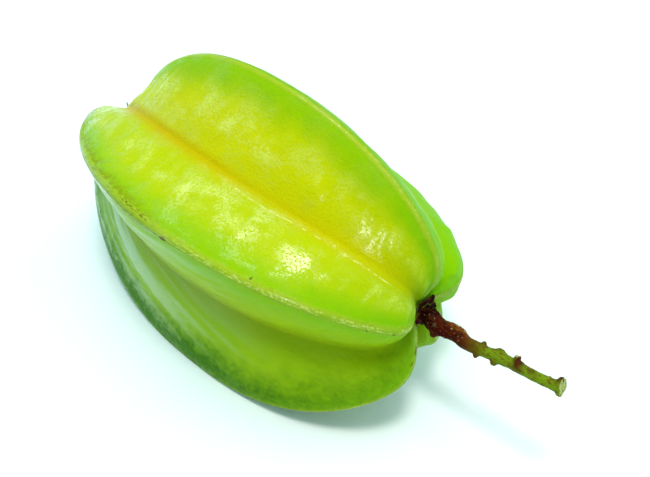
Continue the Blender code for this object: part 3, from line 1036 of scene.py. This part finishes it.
def style_material(look):
    """Dry grey-green wood."""
    finish = Finish("dry_style", {"Specular IOR Level": 0.3})
    maker = finish.maker
    grain = maker.noise(maker.stretch(finish.place(), (0.4, 1.0, 1.0)), 2600.0, 3.0)
    finish.link("Base Color", maker.mix(grain, look.style_dark[:], look.style_pale[:]))
    finish.link("Roughness", 0.55 + grain * 0.3)
    finish.bump(grain, 0.5, 0.1 * MM)
    return finish.material


class STARFRUIT_OT_stalk(Operator):
    """Make the knobbly stalk with its scars and cut end"""

    bl_idname = "starfruit.stalk"
    bl_label = "Make Stalk"

    def execute(self, context):
        material = stalk_material(context.scene.star_fruit_bark)
        stalk = tube("knobbly_stalk", STALK_ROUTE, STALK_STEPS, STALK_COLUMNS, stalk_detail,
                     STALK_END, material, context.scene.collection)
        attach(stalk, "root")
        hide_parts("stalk")
        return {"FINISHED"}


class STARFRUIT_OT_style(Operator):
    """Make the dried style at the blossom end"""

    bl_idname = "starfruit.style"
    bl_label = "Make Style"

    def execute(self, context):
        material = style_material(context.scene.star_fruit_bark)
        style = tube("dried_style_tip", STYLE_ROUTE, STYLE_STEPS, STYLE_COLUMNS, style_detail,
                     STYLE_END, material, context.scene.collection)
        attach(style, "root")
        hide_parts("style_remnant")
        return {"FINISHED"}


SEPAL_COUNT = 5
SEPAL_ROWS = 14
SEPAL_COLUMNS = 9
SEPAL_INSET = 0.88


def sepal_outline(share):
    """Half the width of a sepal, from its foot (0) to its pointed tip (1), as a share."""
    return (0.55 + 0.45 * math.sin(min(share * 1.9, 1) * math.pi / 2)) * (1 - share ** 2.6)


def make_sepal(bm, number, low, high, length, width):
    """One dried, curled sepal as a thin sheet, mostly inwards of the middle of its box."""
    middle = (low + high) / 2
    outward = middle - MIDDLE
    outward.x = 0
    outward.normalize()
    across = Vector((1, 0, 0)).cross(outward)
    rows = []
    for row in range(SEPAL_ROWS + 1):
        share = row / SEPAL_ROWS
        wide = sepal_outline(share) * width / 2
        line = []
        for column in range(SEPAL_COLUMNS + 1):
            side = column / SEPAL_COLUMNS * 2 - 1
            out = (share - SEPAL_INSET) * length
            wave = noise.noise(Vector((share * 3 + number * 9, side * 1.3, number)))
            lift = 0.10 * length * share ** 3 + 0.10 * width * side * side
            lift += 0.07 * length * wave * (0.3 + share)
            place = middle + outward * out + across * (side * wide)
            place.x += lift
            place += across * length * 0.08 * noise.noise(Vector((share * 2.2, number * 4.1, 0)))
            line.append(bm.verts.new(place))
        rows.append(line)
    for line, following in zip(rows, rows[1:]):
        for column in range(SEPAL_COLUMNS):
            bm.faces.new((line[column], following[column],
                          following[column + 1], line[column + 1]))


def calyx_material(look):
    """Dry, dark, papery scraps with pale patches."""
    finish = Finish("dried_sepal_paper", {"IOR": 1.3, "Specular IOR Level": 0.1})
    maker = finish.maker
    cloud = maker.noise(finish.place(), 900.0, 3.0)
    finish.link("Base Color", maker.ramp(cloud, (0.35, look.sepal_dark), (0.55, look.sepal),
                                         (0.72, look.sepal_pale)))
    finish.link("Roughness", 0.6 + cloud * 0.3)
    finish.bump(cloud, 0.6, 0.15 * MM)
    return finish.material


class STARFRUIT_OT_calyx(Operator):
    """Make the dried sepals round the foot of the stalk"""

    bl_idname = "starfruit.calyx"
    bl_label = "Make Calyx"

    def execute(self, context):
        look = context.scene.star_fruit_bark
        bm = bmesh.new()
        nodes = [f"sepal_{number + 1}" for number in range(SEPAL_COUNT)]
        for number, node in enumerate(nodes):
            make_sepal(bm, number, *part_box(node), look.sepal_length, look.sepal_width)
        calyx = piece_of(bm, "dried_calyx", calyx_material(look), context.scene.collection)
        wall = calyx.modifiers.new("thickness", "SOLIDIFY")
        wall.thickness = look.sepal_thickness
        finer = calyx.modifiers.new("smooth", "SUBSURF")
        finer.levels = finer.render_levels = 1
        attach(calyx, "root")
        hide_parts(*nodes)
        return {"FINISHED"}


# ---- Stage ----

# The width of the camera's sensor, in millimetres.
SENSOR_WIDTH = 36
# The nearest that the camera sees, and how far the floor reaches from its middle, in metres.
NEAREST_SEEN = 0.01
FLOOR_REACH = 4.0


def camera_axes(stage):
    """Where the camera stands from what it looks at, and its right and up."""
    azimuth, elevation = stage.camera_azimuth, stage.camera_elevation
    back = Vector((math.sin(azimuth) * math.cos(elevation),
                   -math.cos(azimuth) * math.cos(elevation), math.sin(elevation)))
    right = Vector((math.cos(azimuth), math.sin(azimuth), 0))
    return back, right, back.cross(right)


def make_camera(scene, stage):
    back, right, up = camera_axes(stage)
    stand = back * stage.camera_distance
    aim = right * stage.aim_right - up * stage.aim_down
    data = bpy.data.cameras.new("camera")
    data.sensor_width = SENSOR_WIDTH
    data.lens = stage.lens
    data.clip_start = NEAREST_SEEN
    camera = bpy.data.objects.new("camera", data)
    camera.location = MIDDLE + stand
    camera.rotation_euler = (aim - stand).to_track_quat("-Z", "Y").to_euler()
    scene.collection.objects.link(camera)
    scene.camera = camera


def make_world(scene, stage):
    """A dim studio with one bright wall, towards the blossom end."""
    world = bpy.data.worlds.new("studio")
    world.use_nodes = True
    scene.world = world
    maker = NodeMaker(world.node_tree)
    way = maker.add("ShaderNodeTexCoord", take="Generated")
    facing = maker.add("ShaderNodeVectorMath", {"operation": "DOT_PRODUCT"},
                       {0: way, 1: stage.wall_from[:]}, "Value")
    shade = maker.mix(facing.step(0.35, 1.0), stage.ceiling[:], stage.wall[:])
    maker.feed(world.node_tree.nodes["Background"].inputs["Color"], shade)


# A lamp's direction, strength, width in degrees and colour. Soft lamps light surfaces and leave
# no reflection of their own. Windows are seen only as reflections in the skin's wax.
Lamp = namedtuple("Lamp", "name way strength width colour window")
WARM = (1.0, 0.97, 0.92)
CYAN = (0.15, 0.82, 1.0)
WHITE = (1.0, 1.0, 1.0)
LAMPS = (
    Lamp("overhead_spot", (0.16, -0.15, 1.0), 1.25, 12, WARM, False),
    Lamp("overhead_softbox", (-0.05, -0.05, 1.0), 1.2, 45, WARM, False),
    Lamp("right_softbox", (0.50, -0.30, 0.80), 0.3, 80, WARM, False),
    Lamp("rear_softbox", (0.38, 0.62, 0.68), 0.85, 60, (0.92, 0.97, 1.0), False),
    Lamp("left_fill", (-0.85, -0.22, 0.42), 0.85, 50, CYAN, False),
    Lamp("back_fill", (-0.05, 0.90, 0.45), 0.5, 60, CYAN, False),
    Lamp("right_fill", (0.93, -0.10, 0.34), 0.82, 50, (0.60, 0.93, 1.0), False),
    Lamp("left_window", (-0.44, 0.38, 0.80), 0.36, 24, WHITE, True),
    Lamp("right_window", (-0.14, 0.43, 0.88), 0.72, 14, WHITE, True),
    Lamp("front_window", (0.36, -0.74, 0.57), 0.4, 10, WHITE, True),
)


def make_lamps(scene):
    for name, way, strength, width, tint, window in LAMPS:
        data = bpy.data.lights.new(name, "SUN")
        data.color = tint
        data.energy = strength
        data.angle = math.radians(width)
        lamp = bpy.data.objects.new(name, data)
        lamp.location = way
        lamp.rotation_euler = Vector(way).to_track_quat("Z", "Y").to_euler()
        lamp.visible_diffuse = not window
        lamp.visible_glossy = window
        scene.collection.objects.link(lamp)


def make_floor(scene, stage):
    finish = Finish("pale_floor", {"Roughness": 0.6, "Specular IOR Level": 0.2})
    grain = finish.maker.noise(finish.place(), 40.0)
    paler = [min(c * 1.04, 1.0) for c in stage.floor]
    finish.link("Base Color", finish.maker.mix(grain, stage.floor[:], paler))
    bm = bmesh.new()
    bmesh.ops.create_grid(bm, x_segments=1, y_segments=1, size=FLOOR_REACH)
    floor = piece_of(bm, "floor", finish.material, scene.collection)


class STARFRUIT_OT_stage(Operator):
    """Make the pale floor, the soft light and the camera"""

    bl_idname = "starfruit.stage"
    bl_label = "Make Stage"

    def execute(self, context):
        scene = context.scene
        stage = scene.star_fruit_stage
        make_camera(scene, stage)
        make_world(scene, stage)
        make_lamps(scene)
        make_floor(scene, stage)
        scene.view_settings.view_transform = "Standard"
        return {"FINISHED"}


class STARFRUIT_PT_panel(Panel):
    """Buttons that make each piece, and the settings of the pieces"""

    bl_idname = "STARFRUIT_PT_panel"
    bl_label = "Star Fruit"
    bl_space_type = "VIEW_3D"
    bl_region_type = "UI"
    bl_category = "Star Fruit"

    def draw(self, context):
        for operator in OPERATORS:
            self.layout.operator(operator.bl_idname)
        for group in GROUPS:
            settings = getattr(context.scene, group)
            for name in settings.__annotations__:
                self.layout.prop(settings, name)


GROUPS = {
    "star_fruit": FruitSettings,
    "star_fruit_skin": SkinSettings,
    "star_fruit_bark": BarkSettings,
    "star_fruit_stage": StageSettings,
}
OPERATORS = (
    STARFRUIT_OT_fruit,
    STARFRUIT_OT_stalk,
    STARFRUIT_OT_style,
    STARFRUIT_OT_calyx,
    STARFRUIT_OT_stage,
)


def register():
    for group in (*GROUPS.values(), *OPERATORS, STARFRUIT_PT_panel):
        bpy.utils.register_class(group)
    for name, group in GROUPS.items():
        setattr(bpy.types.Scene, name, PointerProperty(type=group))


def unregister():
    for name in GROUPS:
        delattr(bpy.types.Scene, name)
    for group in (STARFRUIT_PT_panel, *reversed(OPERATORS), *GROUPS.values()):
        bpy.utils.unregister_class(group)


def main():
    register()
    for operator in OPERATORS:
        piece = operator.bl_idname.split(".")[1]
        getattr(bpy.ops.starfruit, piece)()


if __name__ == "__main__":
    main()
